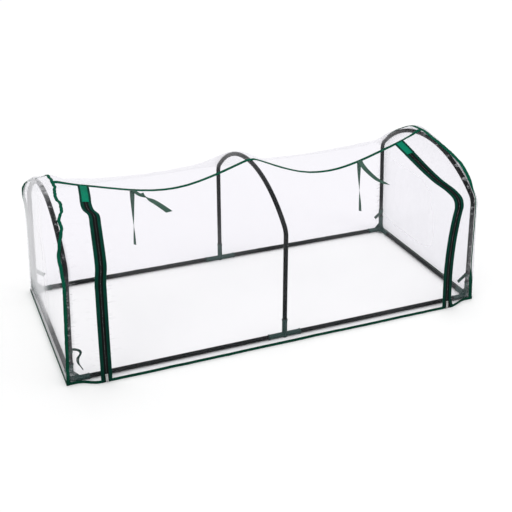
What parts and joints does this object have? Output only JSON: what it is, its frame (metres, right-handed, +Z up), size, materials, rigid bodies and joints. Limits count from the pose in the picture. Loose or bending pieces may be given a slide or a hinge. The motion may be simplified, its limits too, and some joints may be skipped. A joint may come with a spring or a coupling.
{
  "type": "tunnel greenhouse",
  "caption": "Low tunnel greenhouse: arched tube frame on ground rails under a clear cover with green binding and a zipped front door that lifts at the ridge.",
  "frame": {"origin": "on the ground under the middle of the whole object", "axes": "+X along the tunnel to the right, +Y from the door to the back, +Z up"},
  "size_m": [1.825, 0.8704, 0.6547],
  "materials": {
    "black_tube": "satin black coating",
    "green_plastic": "moulded, satin",
    "clear_film": "clear soft film",
    "green_binding": "woven binding tape",
    "zip_tape": "woven zip tape",
    "zip_teeth": "moulded coil",
    "zip_metal": "plain metal",
    "green_tie": "woven tape"
  },
  "bodies": {
    "frame_and_cover": {"back_hem": "green_binding", "back_rail_left": "black_tube", "back_rail_right": "black_tube", "back_sheet": "clear_film", "corner_connector_back_left": "green_plastic", "corner_connector_back_right": "green_plastic", "corner_connector_front_left": "green_plastic", "corner_connector_front_right": "green_plastic", "corner_tie_back_left": "green_tie", "corner_tie_back_right": "green_tie", "corner_tie_front_left": "green_tie", "corner_tie_front_right": "green_tie", "front_rail_left": "black_tube", "front_rail_right": "black_tube", "front_strip_hem_left": "green_binding", "front_strip_hem_right": "green_binding", "front_strip_left": "clear_film", "front_strip_right": "clear_film", "left_arch_binding": "green_binding", "left_end_hem": "green_binding", "left_end_panel": "clear_film", "left_end_rail": "black_tube", "left_hoop_arch": "black_tube", "left_hoop_back_upright": "black_tube", "left_hoop_front_upright": "black_tube", "middle_hoop_arch": "black_tube", "middle_hoop_back_upright": "black_tube", "middle_hoop_front_upright": "black_tube", "ridge_binding": "green_binding", "right_arch_binding": "green_binding", "right_end_hem": "green_binding", "right_end_panel": "clear_film", "right_end_rail": "black_tube", "right_hoop_arch": "black_tube", "right_hoop_back_upright": "black_tube", "right_hoop_front_upright": "black_tube", "tee_connector_back": "green_plastic", "tee_connector_front": "green_plastic", "zip_patch_left": "green_binding", "zip_patch_right": "green_binding", "zip_tape_frame_left": "zip_tape", "zip_tape_frame_right": "zip_tape", "zip_teeth_frame_left": "zip_teeth", "zip_teeth_frame_right": "zip_teeth"},
    "door": {"door_hem": "green_binding", "door_panel": "clear_film", "zip_tape_door_left": "zip_tape", "zip_tape_door_right": "zip_tape", "zip_teeth_door_left": "zip_teeth", "zip_teeth_door_right": "zip_teeth"},
    "slider_left": {"zip_slider_left": "zip_metal"},
    "pull_left": {"zip_pull_left": "zip_metal"},
    "inner_tie_left": {"inner_tie_left": "green_tie"},
    "outer_tie_left": {"outer_tie_left": "green_tie"},
    "slider_right": {"zip_slider_right": "zip_metal"},
    "pull_right": {"zip_pull_right": "zip_metal"},
    "inner_tie_right": {"inner_tie_right": "green_tie"},
    "outer_tie_right": {"outer_tie_right": "green_tie"}
  },
  "joints": [
    {"name": "door_lift", "type": "hinge", "parent": "frame_and_cover", "child": "door", "pos_m": [0, 0.01463, 0.6547], "axis": [-1, 0, 0], "range_deg": [0, 115]},
    {"name": "slider_run_left", "type": "slide", "parent": "frame_and_cover", "child": "slider_left", "axis": [0.0262, 0.048, 0.9985], "range_m": [0, 0.38]},
    {"name": "pull_swing_left", "type": "hinge", "parent": "slider_left", "child": "pull_left", "pos_m": [-0.76323, -0.43052, 0.03021], "axis": [-0.9997, 0.0013, 0.0262], "range_deg": [0, 115]},
    {"name": "inner_tie_swing_left", "type": "hinge", "parent": "frame_and_cover", "child": "inner_tie_left", "pos_m": [-0.51, 0.01463, 0.58275], "axis": [1, 0, 0], "range_deg": [-35, 35]},
    {"name": "outer_tie_lift_left", "type": "hinge", "parent": "door", "child": "outer_tie_left", "pos_m": [-0.52087, 0.00756, 0.59106], "axis": [-1, 0, 0], "range_deg": [0, 70]},
    {"name": "slider_run_right", "type": "slide", "parent": "frame_and_cover", "child": "slider_right", "axis": [0.0437, 0.048, 0.9979], "range_m": [0, 0.38]},
    {"name": "pull_swing_right", "type": "hinge", "parent": "slider_right", "child": "pull_right", "pos_m": [0.75329, -0.43052, 0.03021], "axis": [-0.999, 0.0021, 0.0436], "range_deg": [0, 115]},
    {"name": "inner_tie_swing_right", "type": "hinge", "parent": "frame_and_cover", "child": "inner_tie_right", "pos_m": [0.525, 0.01463, 0.56343], "axis": [1, 0, 0], "range_deg": [-35, 35]},
    {"name": "outer_tie_lift_right", "type": "hinge", "parent": "door", "child": "outer_tie_right", "pos_m": [0.53509, 0.00756, 0.57254], "axis": [-1, 0, 0], "range_deg": [0, 70]}
  ]
}
